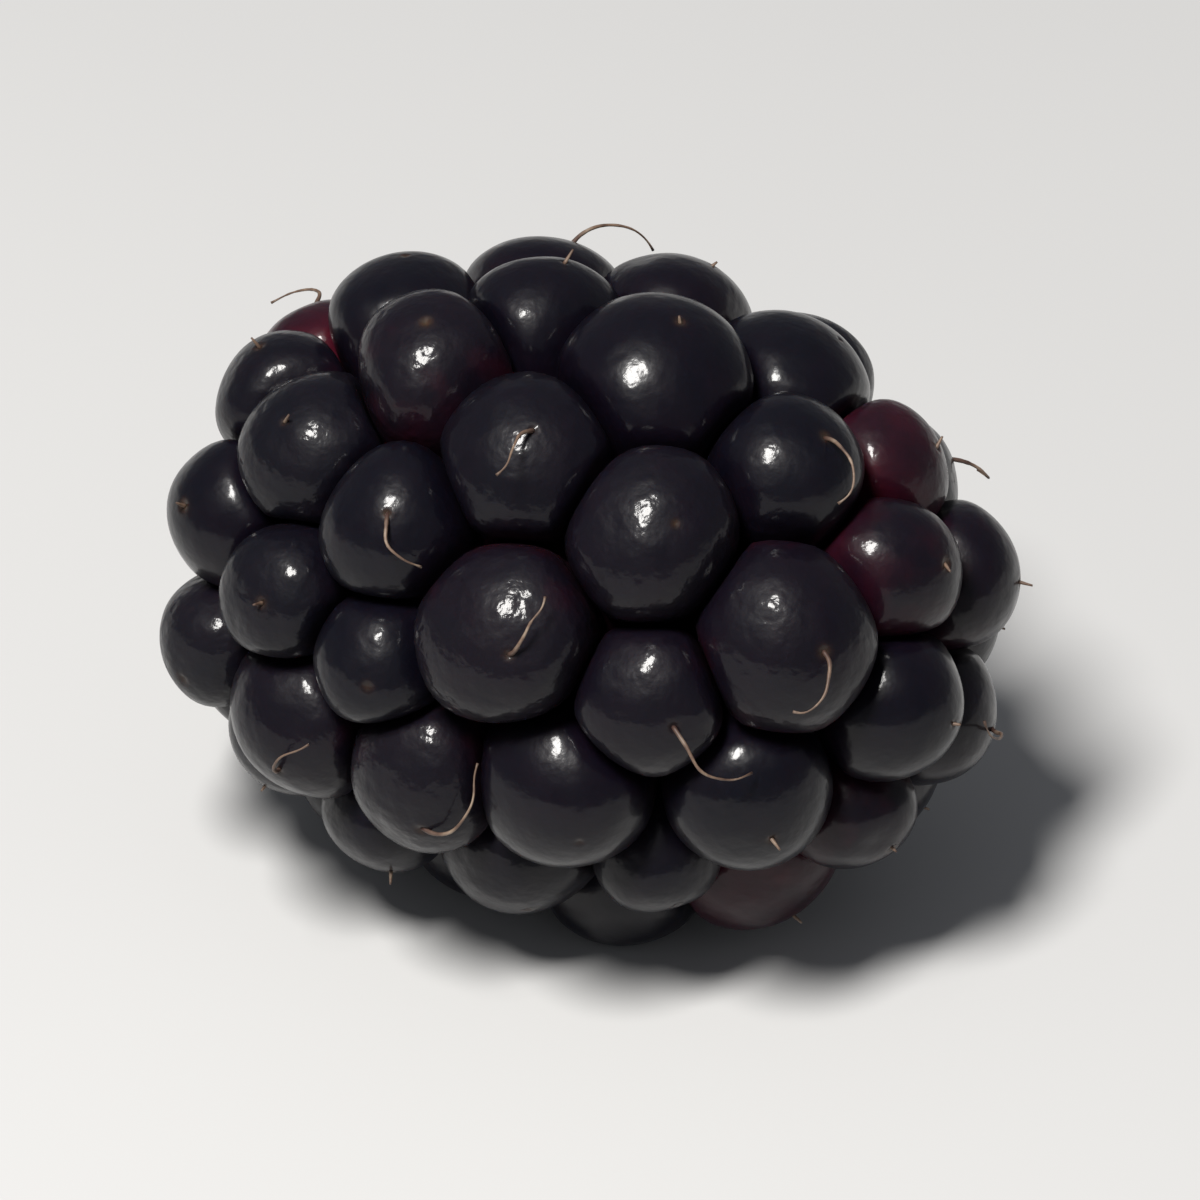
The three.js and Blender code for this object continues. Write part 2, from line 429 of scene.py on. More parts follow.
# %% [markdown]
# ## All drupelets in one mesh
# Lists of points and faces become a Blender mesh, and the mesh an object in the scene. It could be
# built face by face with bmesh, but handing over whole lists is shorter and much faster. Values that
# the points carry become attributes, which a material can read later.

# %% From points and faces to an object
MM = 0.001


def mesh_object(name, points_mm, faces, numbers=None):
    """A smooth-shaded mesh in metres. numbers are named values for each point."""
    mesh = bpy.data.meshes.new(name)
    mesh.from_pydata((np.asarray(points_mm) * MM).tolist(), [], faces)
    mesh.polygons.foreach_set("use_smooth", [True] * len(mesh.polygons))
    for label, values in (numbers or {}).items():
        values = np.asarray(values, np.float32)
        kind, field = ("FLOAT", "value") if values.ndim == 1 else ("FLOAT_VECTOR", "vector")
        mesh.attributes.new(label, kind, "POINT").data.foreach_set(field, values.ravel())
    mesh.update()
    piece = bpy.data.objects.new(name, mesh)
    bpy.context.scene.collection.objects.link(piece)
    return piece


print("Blender counts in metres, and a millimetre is", MM)

# %% [markdown]
# They could be sixty objects, each with a colour of its own. They are one piece, because they leave
# the plant as one, and four numbers travel with every point so that one skin material can treat each
# place in its own way: how red the drupelet still is, how old its skin is, how far the point stands
# out of the crease, and how near it is to the brown scar of the style.

# %% Build the cluster
UNRIPE_SHARE = 0.07  # of the drupelets are less ripe than the rest
RIPE_REDNESS = 0.2  # at most, where 0 is fully black and 1 is ruby
UNRIPE_REDNESS = (0.2, 0.35)  # at least, and how much more at most
redness_draw = np.random.default_rng(5)


def redness_of_a_drupelet():
    red = RIPE_REDNESS * redness_draw.random() ** 2
    unripe, how_much = redness_draw.random() < UNRIPE_SHARE, redness_draw.random()
    least, more = UNRIPE_REDNESS
    return red + unripe * (least + more * how_much**2)


points, faces, redness, age, standing, scars, pits = [], [], [], [], [], [], []
for i in range(DRUPELETS):
    skin, scar, pole = drupelet_points(i)
    faces += drupelet_faces(sum(len(p) for p in points))
    points.append(on_ground(skin))
    redness.append(np.full(len(skin), redness_of_a_drupelet()))
    age.append(np.full(len(skin), shape_draw.random() ** 2))
    standing.append(((skin - middles[i]) @ outwards[i]) / (REACH * sizes[i]))
    scars.append(scar)
    pits.append((on_ground(skin[:1])[0], pole))

numbers = {"redness": redness, "age": age, "standing": standing, "scar": scars}
numbers = {label: np.concatenate(values) for label, values in numbers.items()}
cluster = mesh_object("drupelet_cluster", np.vstack(points), faces, numbers)
triangles = sum(len(face) - 2 for face in faces)
print("The cluster has", triangles, "triangles")

# %% [markdown]
# ## Helpers for materials
# Each finish below is a small graph of shader nodes. It could be drawn in the shader editor, but a
# graph that a script makes can be read line by line. These helpers make a node with its settings
# and links in a single line.

# %% Make and link nodes
def feed(tree, node, links):
    """Sets a node's inputs. links are values, or outputs of other nodes."""
    for socket, value in links.items():
        if isinstance(value, bpy.types.NodeSocket):
            tree.links.new(value, node.inputs[socket])
        else:
            node.inputs[socket].default_value = value


def add(tree, kind, links=None, **settings):
    """A shader node. settings are its properties, and links feed its inputs."""
    made = tree.nodes.new(kind)
    for key, value in settings.items():
        setattr(made, key, value)
    feed(tree, made, links or {})
    return made


def carried(tree, label, output="Fac"):
    """What a point of the mesh carries under this label."""
    return add(tree, "ShaderNodeAttribute", attribute_name=label).outputs[output]


def new_material(name):
    """A material, its tree, its shader, and the place on the piece that is being shaded."""
    material = bpy.data.materials.new(name)
    material.use_nodes = True
    tree = material.node_tree
    place = add(tree, "ShaderNodeTexCoord").outputs["Object"]
    return material, tree, tree.nodes["Principled BSDF"], place


print("The frame came with", len(bpy.data.materials), "materials")

# %% [markdown]
# Colours and numbers change from place to place. A painted picture could hold them, but it would have
# to be laid on without a seam, and it would blur from near by. Noise that is worked out for every
# place is as sharp as one looks, and a few helpers turn it into colours and shares.

# %% Mix colours and spread numbers
def ramp(tree, factor, stops):
    """A colour ramp with (place, colour) stops."""
    made = add(tree, "ShaderNodeValToRGB", {"Fac": factor})
    elements = made.color_ramp.elements
    while len(elements) < len(stops):
        elements.new(0.5)
    for element, (place, colour) in zip(elements, stops):
        element.position = place
        element.color = (*colour, 1.0)
    return made.outputs["Color"]


def mixed(tree, factor, first, second):
    """Two colours blended by a factor. Each of the three is a value or an output."""
    return add(tree, "ShaderNodeMix", {0: factor, 6: first, 7: second}, data_type="RGBA").outputs[2]


def total_of(tree, first, second):
    return add(tree, "ShaderNodeMath", {0: first, 1: second}, operation="ADD").outputs[0]


def spread_range(tree, value, low, high, to_low, to_high):
    """Maps low..high onto to_low..to_high, clamped."""
    links = {"Value": value, "From Min": low, "From Max": high, "To Min": to_low, "To Max": to_high}
    return add(tree, "ShaderNodeMapRange", links).outputs["Result"]


def noise(tree, place, size_mm, detail=2.0):
    """Noise with features of about size_mm. It is about 0.5 and seldom beyond 0.3 and 0.7."""
    links = {"Vector": place, "Scale": 1 / (size_mm * MM), "Detail": detail}
    return add(tree, "ShaderNodeTexNoise", links).outputs["Fac"]


print("Noise with features of 1 mm needs a scale of", round(1 / MM))

# %% [markdown]
# ## The skin
# From afar a drupelet's skin is smooth, but from near by it is finely dented, and that is what breaks
# up its highlights. Modelled dents would take millions of points. Bumps in the shader only bend the
# light, which is enough for dents as shallow as these. Three layers of them, from broad to fine, are
# laid over each other.

# %% Fine dents
BUMPS = ((1.5, 0.085), (0.6, 0.024), (0.2, 0.007))  # how wide and how deep, in millimetres


def bumps(tree, place, strength):
    """Layers of uneven height, each laid over the one before."""
    normal = {}
    for size_mm, depth_mm in BUMPS:
        factors = {0: noise(tree, place, size_mm), 1: strength}
        height = add(tree, "ShaderNodeMath", factors, operation="MULTIPLY").outputs[0]
        links = {"Height": height, "Strength": 1.0, "Distance": depth_mm * MM}
        normal = {"Normal": add(tree, "ShaderNodeBump", links | normal).outputs["Normal"]}
    return normal["Normal"]


print(len(BUMPS), "layers of dents, from", BUMPS[0][0], "to", BUMPS[-1][0], "mm wide")

# %% [markdown]
# A ripe drupelet looks black, but a plain black would look dead. The real black has depth: thin clear
# skin over dark purple juice. Where a drupelet is less ripe the juice is wine red, and light enters it
# and comes out again, so the shader's subsurface light is on. The gloss has two layers, as the real
# skin has: a soft broad sheen from the flesh, and over it a sharp, wet-looking one, for which the
# shader's coat is used. A drupelet that has been ripe for long is duller, and its dents are deeper.

# %% The skin's colour and gloss
JUICE = [  # from fully ripe to ruby
    (0.0, (0.0024, 0.0022, 0.0052)),
    (0.26, (0.0044, 0.0025, 0.006)),
    (0.5, (0.022, 0.0026, 0.0075)),
    (0.8, (0.075, 0.0045, 0.0115)),
    (1.0, (0.14, 0.0095, 0.015)),
]
SCAR_BROWN = (0.05, 0.028, 0.016, 1.0)
INTO_CREASE = (0.8, 0.1)  # how far a point stands out, from the crown down
CREASE_GLOW_REDNESS = 0.16  # painted light: redder colour added deep in the creases, standing for the light that comes through the flesh
MOTTLES = (-0.05, 0.1)  # added in patches
SMOOTH_AND_ROUGH = (0.32, 0.44)
AGE_ROUGHNESS = 0.2  # added to the oldest skin
YOUNG_AND_OLD = (0.85, 2.1)  # how strong the dents are


def skin_material():
    material, tree, shader, place = new_material("drupelet_skin")
    # Painted light: the skin is painted redder deep in the creases, where light shines through the
    # flesh.
    painted_crease_glow = spread_range(tree, carried(tree, "standing"), *INTO_CREASE, 0.0, CREASE_GLOW_REDNESS)
    mottled = spread_range(tree, noise(tree, place, 1.4), 0.35, 0.7, *MOTTLES)
    red = total_of(tree, total_of(tree, carried(tree, "redness"), painted_crease_glow), mottled)
    age = carried(tree, "age")
    uneven = spread_range(tree, noise(tree, place, 0.9), 0.3, 0.7, *SMOOTH_AND_ROUGH)
    dulled = spread_range(tree, age, 0.0, 1.0, 0.0, AGE_ROUGHNESS)
    dented = bumps(tree, place, spread_range(tree, age, 0.0, 1.0, *YOUNG_AND_OLD))
    feed(tree, shader, {
        "Base Color": mixed(tree, carried(tree, "scar"), ramp(tree, red, JUICE), SCAR_BROWN),
        "Roughness": total_of(tree, uneven, dulled),
        "IOR": 1.36,
        "Specular IOR Level": 0.2,
        "Coat Weight": 0.5,
        "Coat Roughness": 0.13,
        "Coat IOR": 1.38,
        "Subsurface Weight": 0.3,
        "Subsurface Radius": (1.0, 0.22, 0.16),
        "Subsurface Scale": 0.7 * MM,
        "Normal": dented,
        "Coat Normal": dented,
    })
    return material


skin_finish = skin_material()
cluster.data.materials.append(skin_finish)
print("The skin is a graph of", len(skin_finish.node_tree.nodes), "nodes")

# %% [markdown]
# ## Thin tubes
# Two things on the berry are as thin as hairs: the torn fibres at its stem end and the dried styles.
# Hair curves would be quick, yet they stay curves and don't leave Blender with the model. So each is a
# closed tube of real mesh: a small ring of points is carried along a path without twisting.

# %% Sweep a tube along a path
TUBE_SIDES = 7


def tube(path, radii):
    """Points of a tube along a path: its first end, its rings and its last end."""
    steps = np.gradient(path, axis=0)
    side = unit(np.cross(steps[0], up + 0.3 * east))
    rings = [path[:1]]
    phi = np.arange(TUBE_SIDES) * 2 * math.pi / TUBE_SIDES
    for place, step, radius in zip(path, steps, radii):
        forward = unit(step)
        side = unit(side - (side @ forward) * forward)
        other = np.cross(forward, side)
        rings.append(place + radius * (np.cos(phi)[:, None] * side + np.sin(phi)[:, None] * other))
    return np.vstack([*rings, path[-1:]])


def tube_faces(steps, first):
    start, last, end = first + 1, first + 1 + (steps - 1) * TUBE_SIDES, first + 1 + steps * TUBE_SIDES
    around = range(TUBE_SIDES)
    cap = [(first, start + (k + 1) % TUBE_SIDES, start + k) for k in around]
    close = [(last + k, last + (k + 1) % TUBE_SIDES, end) for k in around]
    return cap + [quad[::-1] for quad in ring_faces(steps, TUBE_SIDES, start)] + close


print("A tube of ten rings has", len(tube_faces(10, 0)), "faces")

# %% [markdown]
# ## The stem end
# When a bramble berry is picked, its core comes away with it, and its broken end shows as a pale round
# scar among the last drupelets. It is fibrous: a soft pith in the middle, a ring of small bundles
# that fed the drupelets, and a torn rim that juice has stained. Both the scar and the flesh behind
# it are bodies turned about the berry's axis. Blender's Spin tool turns an outline like that, but here
# a formula also raises and sinks the points as they go round. Every point keeps how far out it lies,
# and a grain that runs from the middle outwards, for the material.

# %% A body turned about the berry's axis
AROUND = 120
TURN = np.arange(AROUND) * 2 * math.pi / AROUND
ANY_TURN = (0, 6.28)  # radians, for draws
GRAIN_ROUND = 7.0  # streaks are this much finer around than outwards
scar_draw = np.random.default_rng(11)


def turned_points(rings, first_x, last_x):
    """Rings of (x, radius), each a number or one for every turn, closed by two points on the axis."""
    points = [[[first_x, 0, 0]]]
    for x, radius in rings:
        across = radius * np.array([np.cos(TURN), np.sin(TURN)])
        points.append(np.column_stack([np.broadcast_to(x, AROUND), *across]))
    return laid(np.vstack([*points, [[last_x, 0, 0]]]))


def turned_faces(rings):
    """Quads between the rings, and a fan at each end, facing out where x grows from ring to ring."""
    last, end = 1 + (rings - 1) * AROUND, 1 + rings * AROUND
    first_fan = [(0, 1 + (k + 1) % AROUND, 1 + k) for k in range(AROUND)]
    last_fan = [(last + k, last + (k + 1) % AROUND, end) for k in range(AROUND)]
    return first_fan + [quad[::-1] for quad in ring_faces(rings, AROUND, 1)] + last_fan


def outward_numbers(edges, bundles):
    """For the rings of a turned body: how far out, how near a bundle, and the grain."""
    each = np.repeat(edges, AROUND)
    round_it = np.tile(np.stack([np.cos(TURN), np.sin(TURN)], axis=1), (len(edges), 1))
    grain = np.column_stack([GRAIN_ROUND * round_it, each])
    ends = [[0, 0, edges[0]]], [[0, 0, edges[-1]]]
    return {
        "edge": np.concatenate([[edges[0]], each, [edges[-1]]]),
        "bundle": np.concatenate([[0], np.ravel(bundles), [0]]),
        "grain": np.vstack([ends[0], grain, ends[1]]),
    }


print("A ring has", AROUND, "points, one for every", 360 / AROUND, "degrees")

# %% [markdown]
# The scar's face is hollow in the middle, and its rim curls away. The bundles stand out of it as small
# humps with a sunken middle, and ridges and lumps make it uneven. It could be sculpted, but here
# each of these forms is one term of a sum, and can be changed without touching the others.

# %% How far the scar's face stands out
RECEPTACLE_RADIUS = 2.15
SCAR_HOLLOW = 0.3  # depth of the middle
SCAR_EDGE_DROP = 0.32  # how far the rim curls away
BUNDLES = 11
BUNDLE_RING = 1.37  # how far out the bundles stand
BUNDLE_WIDTH = 0.21
BUNDLE_STRETCH = 1.6  # more than 1 is longer outwards
BUNDLE_HEIGHT = 0.12
BUNDLE_SINK = 1.5  # how much of its middle sinks again
BUNDLE_ASIDE = 0.25  # share of the way to the next one that it may stand aside
BUNDLE_STRAY = 0.1  # how far in or out of their ring they commonly are
RIDGE_SETS, LUMP_SETS = 9, 6
LUMP_HEIGHT = 0.022
RIDGES = [  # how many there are round the scar, where they begin, and how high they are
    (scar_draw.integers(9, 46), scar_draw.uniform(*ANY_TURN), scar_draw.uniform(0.01, 0.026))
    for _ in range(RIDGE_SETS)
]
LUMPS = [  # how close they follow each other, their heading, and where they begin
    (scar_draw.uniform(1.5, 4.5), scar_draw.uniform(*ANY_TURN), scar_draw.uniform(*ANY_TURN))
    for _ in range(LUMP_SETS)
]
bundle_turns = np.arange(BUNDLES) + scar_draw.uniform(-BUNDLE_ASIDE, BUNDLE_ASIDE, BUNDLES)
bundle_places = bundle_turns * 2 * math.pi / BUNDLES
bundle_rings = BUNDLE_RING + scar_draw.normal(0, BUNDLE_STRAY, BUNDLES)


def bundle_share(radius):
    """1 in the middle of a bundle, falling to 0 around it, for every turn."""
    share = np.zeros(AROUND)
    for place, ring in zip(bundle_places, bundle_rings):
        aside = radius * np.sin((TURN - place) / 2) * 2
        share += np.exp(-(aside**2 + (radius - ring) ** 2 / BUNDLE_STRETCH) / BUNDLE_WIDTH**2)
    return share


def scar_height(radius):
    """How far the scar's face stands out, in millimetres, for every turn."""
    edge = radius / RECEPTACLE_RADIUS
    height = -SCAR_HOLLOW * (1 - edge**2) ** 2 - SCAR_EDGE_DROP * edge**9
    share = bundle_share(radius)
    height = height + BUNDLE_HEIGHT * (share - BUNDLE_SINK * share**3)
    for pace, phase, size in RIDGES:
        height += size * edge**1.5 * np.sin(pace * TURN + phase)
    for pace, heading, phase in LUMPS:
        height += LUMP_HEIGHT * np.sin(pace * radius * np.cos(TURN - heading) + phase)
    return height


print("The scar's middle lies", round(-float(scar_height(0.0).mean()), 2), "mm deep")

# %% [markdown]
# Rings of points now take that height. The rim is not quite round, because the flesh broke there. The
# scar could end at its rim as a thin shell, but that would have no inside. So from the rim it runs on
# into the berry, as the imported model's does, and is closed there.

# %% The scar
RECEPTACLE_INNER_RADIUS = 1.8  # at its far end, inside the berry
RECEPTACLE_LENGTH = 3.9
RECEPTACLE_BACK_X = -10.1  # where its face is, along the berry
SCAR_RINGS = 34
RAGGED = 0.016  # share of the rim's radius, for each of the waves
RIM_WAVES = ((3, 0.4), (5, 1.9), (9, 1.3), (17, 4.0))  # how many round the rim, and where they begin


def scar_ring(edge):
    """Where the ring at a share of the radius lies along the berry, and its ragged radius."""
    radius = RECEPTACLE_RADIUS * edge
    waves = sum(np.sin(pace * TURN + phase) for pace, phase in RIM_WAVES)
    return RECEPTACLE_BACK_X - scar_height(radius), radius * (1 + RAGGED * edge**4 * waves)


scar_edges = (np.arange(1, SCAR_RINGS + 1) / SCAR_RINGS) ** 0.8
scar_rings = [scar_ring(edge) for edge in scar_edges]
inner_x = RECEPTACLE_BACK_X + RECEPTACLE_LENGTH
scar_rings.append((inner_x, RECEPTACLE_INNER_RADIUS))
scar_points = turned_points(scar_rings, RECEPTACLE_BACK_X + SCAR_HOLLOW, inner_x)
scar_faces = turned_faces(len(scar_rings))
bundles = [bundle_share(RECEPTACLE_RADIUS * edge) for edge in scar_edges] + [np.zeros(AROUND)]
scar_numbers = outward_numbers(np.append(scar_edges, 1.1), bundles)
print("The scar is", round(2 * RECEPTACLE_RADIUS, 1), "mm across")

# %% [markdown]
# Torn ends of fibres stand up from the bundles and along the rim. They are a few tenths of a
# millimetre long, and they catch the light at the edge of the scar. A particle system could scatter
# them, but few are needed, and as thin tubes they are part of the scar's own mesh.

# %% Torn fibres
FIBRES = 46
FIBRE_STEPS = 5
FIBRE_LENGTH = (0.18, 0.6)
FIBRE_RADIUS = 0.035
FIBRES_AT_RIM = 0.6  # share of them, and the rest stand on the bundles
RIM_BAND = (0.88, 0.98)  # shares of the radius
ROOT_AT_RIM, ROOT_AT_BUNDLE = 0.2, 0.1  # how deep under the scar's face they start
FIBRE_LEAN = (0.1, 1.3)  # outwards, for each step straight out of the scar
FIBRE_STRAY, FIBRE_BEND = 0.35, 0.5
FIBRE_TAPER = (1.2, 0.4)  # shares of its radius at its root and at its tip
FIBRE_STAIN = (0.6, 0.85)  # they are coloured as the scar is at these shares of its radius


def fibre_path():
    """A short bent fibre from a bundle or from the rim, in the berry's own frame."""
    turn, near_rim = scar_draw.uniform(0, 2 * math.pi), scar_draw.random() < FIBRES_AT_RIM
    radius = RECEPTACLE_RADIUS * scar_draw.uniform(*RIM_BAND) if near_rim else BUNDLE_RING
    out = np.array([0, math.cos(turn), math.sin(turn)])
    start = radius * out + (RECEPTACLE_BACK_X + (ROOT_AT_RIM if near_rim else ROOT_AT_BUNDLE)) * east
    heading = unit(-east + scar_draw.uniform(*FIBRE_LEAN) * out + scar_draw.normal(0, FIBRE_STRAY, 3))
    bend = scar_draw.normal(0, FIBRE_BEND, 3)
    along = np.linspace(0, scar_draw.uniform(*FIBRE_LENGTH), FIBRE_STEPS)[:, None]
    return start + along * heading + along**2 * bend


for _ in range(FIBRES):
    scar_faces += tube_faces(FIBRE_STEPS, len(scar_points))
    fibre = tube(laid(fibre_path()), FIBRE_RADIUS * np.linspace(*FIBRE_TAPER, FIBRE_STEPS))
    scar_points = np.vstack([scar_points, fibre])
    added = {
        "edge": np.full(len(fibre), scar_draw.uniform(*FIBRE_STAIN)),
        "bundle": np.zeros(len(fibre)),
        "grain": scar_draw.normal(size=(len(fibre), 3)),
    }
    scar_numbers = {label: np.concatenate([scar_numbers[label], added[label]]) for label in added}
receptacle = mesh_object("receptacle_scar", scar_points, scar_faces, scar_numbers)
print(FIBRES, "torn fibres;", sum(len(face) - 2 for face in scar_faces), "triangles")

# %% [markdown]
# Round the scar one can just see the flesh that the drupelets grow from. Its back is torn into low
# ridges and rises to a collar round the scar. It could be a flat disc with a bump map, but it is seen
# from the side too, so its ridges are real.

# %% The torn back
FLESH_DEPTH = 0.75  # under the drupelets' middles
FLESH_BACK_X = -8.95  # where its torn back is, along the berry
FLESH_INNER_RADIUS = 1.9  # a little inside the scar's rim
FLESH_BACK_RINGS = 12
COLLAR_HEIGHT = 0.45
COLLAR_WIDTH = 0.35
TORN = 1.6  # times as deep as the scar's ridges


def torn_rings():
    """Rings of the torn back, from the scar outwards."""
    back_radius = float(bed_radius(FLESH_BACK_X, FLESH_DEPTH))
    torn = sum(size * np.sin(pace * TURN + 2 * phase) for pace, phase, size in RIDGES)
    rings = []
    for radius in np.linspace(FLESH_INNER_RADIUS, back_radius, FLESH_BACK_RINGS):
        collar = COLLAR_HEIGHT * math.exp(-max(0.0, radius - RECEPTACLE_RADIUS) / COLLAR_WIDTH)
        rings.append((FLESH_BACK_X - collar + TORN * torn, radius))
    return rings


rings = torn_rings()
flesh_back = mesh_object(
    "flesh_back",
    turned_points(rings, FLESH_BACK_X, FLESH_BACK_X + 1),
    turned_faces(len(rings)),
    outward_numbers([radius / RECEPTACLE_RADIUS for _, radius in rings], np.zeros(AROUND * len(rings))),
)
print("The torn back is", round(2 * rings[-1][1], 1), "mm across")

# %% [markdown]
# More of the same flesh lies deep between the drupelets, and shows only as darkness in the widest
# gaps. Without it one could look into an empty berry there. It could be one piece with the torn back,
# but the two look so different that they are two.

# %% The flesh between the drupelets
FLESH_SIDE_RINGS = 20
SIDE_START = 0.4  # how far behind the torn back it begins
side_back, side_front = FLESH_BACK_X + SIDE_START, TIP_HALF - FLESH_DEPTH
side_turns = np.linspace(0, math.pi / 2, FLESH_SIDE_RINGS, endpoint=False)
side_places = side_back + np.sin(side_turns) * (side_front - side_back)
flesh_between = mesh_object(
    "flesh_between",
    turned_points([(x, bed_radius(x, FLESH_DEPTH)) for x in side_places], side_back, side_front),
    turned_faces(FLESH_SIDE_RINGS),
)
print("The flesh reaches", round(side_front - FLESH_BACK_X, 1), "mm along the berry")

# %% [markdown]
# ## The finish of the torn flesh
# The pith is pale and made of small cells, and round it fibres run outwards. Juice has soaked in from
# the rim, wine red at first and nearly black further out. A picture of a real scar could be laid over
# it, but it would blur from near by. The numbers that every point keeps tell the shader where it is,
# so noise along the grain and colour ramps can paint it as finely as it is looked at.

# %% The material of the torn flesh
PITH = [  # from the shadows between the fibres to their crests
    (0.25, (0.42, 0.33, 0.17)),
    (0.5, (0.68, 0.6, 0.39)),
    (0.72, (0.83, 0.78, 0.6)),
]
STAINS = [  # how much juice there is, from the middle to twice the scar's radius
    (0.0, (0.1, 0.1, 0.1)),
    (0.36, (0.08, 0.08, 0.08)),
    (0.47, (0.42, 0.42, 0.42)),
    (0.51, (0.72, 0.72, 0.72)),
    (0.6, (0.46, 0.46, 0.46)),
    (0.8, (0.97, 0.97, 0.97)),
]
WINE = (0.3, 0.06, 0.09, 1.0)
DRIED_WINE = (0.022, 0.003, 0.008, 1.0)
BUNDLE_BROWN = (0.2, 0.12, 0.035, 1.0)
DARK_FLESH = (0.012, 0.002, 0.005, 1.0)
CELL_MM = 0.13
PITH_ENDS = (0.3, 0.62)  # shares of the radius between which cells give way to fibres
BLOTCHES = (-0.3, 0.3)  # juice that is added in patches
STREAKS = (-0.16, 0.16)  # and along the fibres
SOAKING = (0.1, 0.85)  # how much juice there is where it begins to show and where it hides the pith
DARK_BEYOND = (1.3, 1.7)  # shares of the scar's radius between which the flesh turns dark
BROWNING = (0.3, 0.9, 0.0, 0.75)  # from beside a bundle to its middle, and how brown


def receptacle_material():
    material, tree, shader, place = new_material("receptacle_flesh")
    edge, bundle = carried(tree, "edge"), carried(tree, "bundle")
    grain = {"Vector": carried(tree, "grain", "Vector"), "Scale": 2.2, "Detail": 5.0}
    streaks = add(tree, "ShaderNodeTexNoise", grain).outputs["Fac"]
    cell_links = {"Vector": place, "Scale": 1 / (CELL_MM * MM)}
    cells = add(tree, "ShaderNodeTexVoronoi", cell_links).outputs["Distance"]
    fibres = mixed(tree, spread_range(tree, edge, *PITH_ENDS, 1.0, 0.0), streaks, cells)
    blotch = spread_range(tree, noise(tree, place, 1.0, detail=4.0), 0.35, 0.65, *BLOTCHES)
    streaked = spread_range(tree, streaks, 0.3, 0.7, *STREAKS)
    stains = ramp(tree, spread_range(tree, edge, 0.0, 2.0, 0.0, 1.0), STAINS)
    stained = total_of(tree, total_of(tree, stains, blotch), streaked)
    soaked = spread_range(tree, stained, *SOAKING, 0.0, 1.0)
    colour = mixed(tree, soaked, ramp(tree, fibres, PITH), mixed(tree, stained, WINE, DRIED_WINE))
    colour = mixed(tree, spread_range(tree, edge, *DARK_BEYOND, 0.0, 1.0), colour, DARK_FLESH)
    colour = mixed(tree, spread_range(tree, bundle, *BROWNING), colour, BUNDLE_BROWN)
    bump = add(tree, "ShaderNodeBump", {"Height": fibres, "Strength": 1.0, "Distance": 0.07 * MM})
    feed(tree, shader, {
        "Base Color": colour,
        "Roughness": 0.5,
        "IOR": 1.38,
        "Subsurface Weight": 0.25,
        "Subsurface Radius": (1.0, 0.7, 0.35),
        "Subsurface Scale": 0.3 * MM,
        "Normal": bump.outputs["Normal"],
    })
    return material


torn_flesh = receptacle_material()
receptacle.data.materials.append(torn_flesh)
flesh_back.data.materials.append(torn_flesh)
print("The torn flesh is a graph of", len(torn_flesh.node_tree.nodes), "nodes")

# %% [markdown]
# The flesh between the drupelets is dark with juice, and its colour is also painted nearly black as the
# shade in the gaps. With the scar's finish it would catch light in the gaps and look like pale glue, so
# it gets one of its own: two dark reds in soft patches, and too matt to mirror anything.

# %% The material of the deep flesh
# Juice-dark reds painted nearly black: painted shade for the gaps between the drupelets.
SOAKED_AND_SHADED = [(0.3, (0.005, 0.001, 0.003)), (0.7, DARK_FLESH[:3])]


def deep_shade_material():
    material, tree, shader, place = new_material("deep_flesh_shade")
    feed(tree, shader, {
        "Base Color": ramp(tree, noise(tree, place, 0.8), SOAKED_AND_SHADED),
        "Roughness": 0.9,
        "Specular IOR Level": 0.05,
    })
    return material


flesh_between.data.materials.append(deep_shade_material())
print("The flesh between the drupelets has the finish", flesh_between.data.materials[0].name)

# %% [markdown]
# ## The dried styles
# In flower every drupelet had a style, a thread that caught the pollen. It dries and mostly drops
# off, but a ripe berry keeps a few, curled over the drupelets like short hairs. Each is a thin tube
# along a path that rises from its pit, bends over and follows the skin. The paths could be drawn by
# hand as curves. Walked step by step, with turns that are drawn at random, each comes out unlike
# the others.

# %% The path of a style
STYLE_STEPS = 24
STYLE_LENGTH = (2.2, 4.6)
UNDER_PIT = 0.05  # how far down in its pit a style starts
TIPWARDS = 0.6  # how much they are drawn towards the berry's tip
RISE_AT_ROOT = (0.2, 0.9)  # radians from straight out of the pit
TURN_OVER = (1.0, 2.4)  # radians more at its tip
CURL = 1.3  # radians aside at its tip, commonly
WAVES = ((0.3, 1, 7), (0.22, 2, 17))  # radians aside, share in the drawn start, radians per hair
STUB_STEPS = 5
STUB_LENGTH = (0.2, 0.55)
STUB_LEAN = 0.35
style_draw = np.random.default_rng(424)


def style_path(pit, pole):
    """A hair that leaves its pit, leans over, lies down on the skin and curls."""
    length = style_draw.uniform(*STYLE_LENGTH)
    lean = unit(style_draw.normal(size=3) + TIPWARDS * TIP_WARDS)
    sideways = unit(lean - (lean @ pole) * pole)
    across = np.cross(pole, sideways)
    start, turn = style_draw.uniform(*RISE_AT_ROOT), style_draw.uniform(*TURN_OVER)
    curl, wave = style_draw.normal(0, CURL), style_draw.uniform(*ANY_TURN)
    step = length / (STYLE_STEPS - 1)
    place, path = pit - UNDER_PIT * pole, []
    for s in np.linspace(0, 1, STYLE_STEPS):
        path.append(place)
        rise = start + turn * s**0.8
        aside = curl * s + sum(size * math.sin(k * wave + pace * s) for size, k, pace in WAVES)
        along = math.cos(aside) * sideways + math.sin(aside) * across
        place = place + step * (math.cos(rise) * pole + math.sin(rise) * along)
    return np.array(path)


def stub_path(pit, pole):
    """What stays when a style breaks off: a short leaning nub."""
    length = style_draw.uniform(*STUB_LENGTH)
    leaning = unit(pole + style_draw.normal(0, STUB_LEAN, 3))
    return pit + np.linspace(-0.06, length, STUB_STEPS)[:, None] * leaning


print("A style is", STYLE_LENGTH[0], "to", STYLE_LENGTH[1], "mm long, in", STYLE_STEPS, "steps")

# %% [markdown]
# A path drawn like this can dip into a neighbour. It could be pulled onto the skin with a shrinkwrap
# modifier, but then the hair would stick to it all along. So only points that are too near a drupelet
# are lifted, and the path is smoothed before and after.

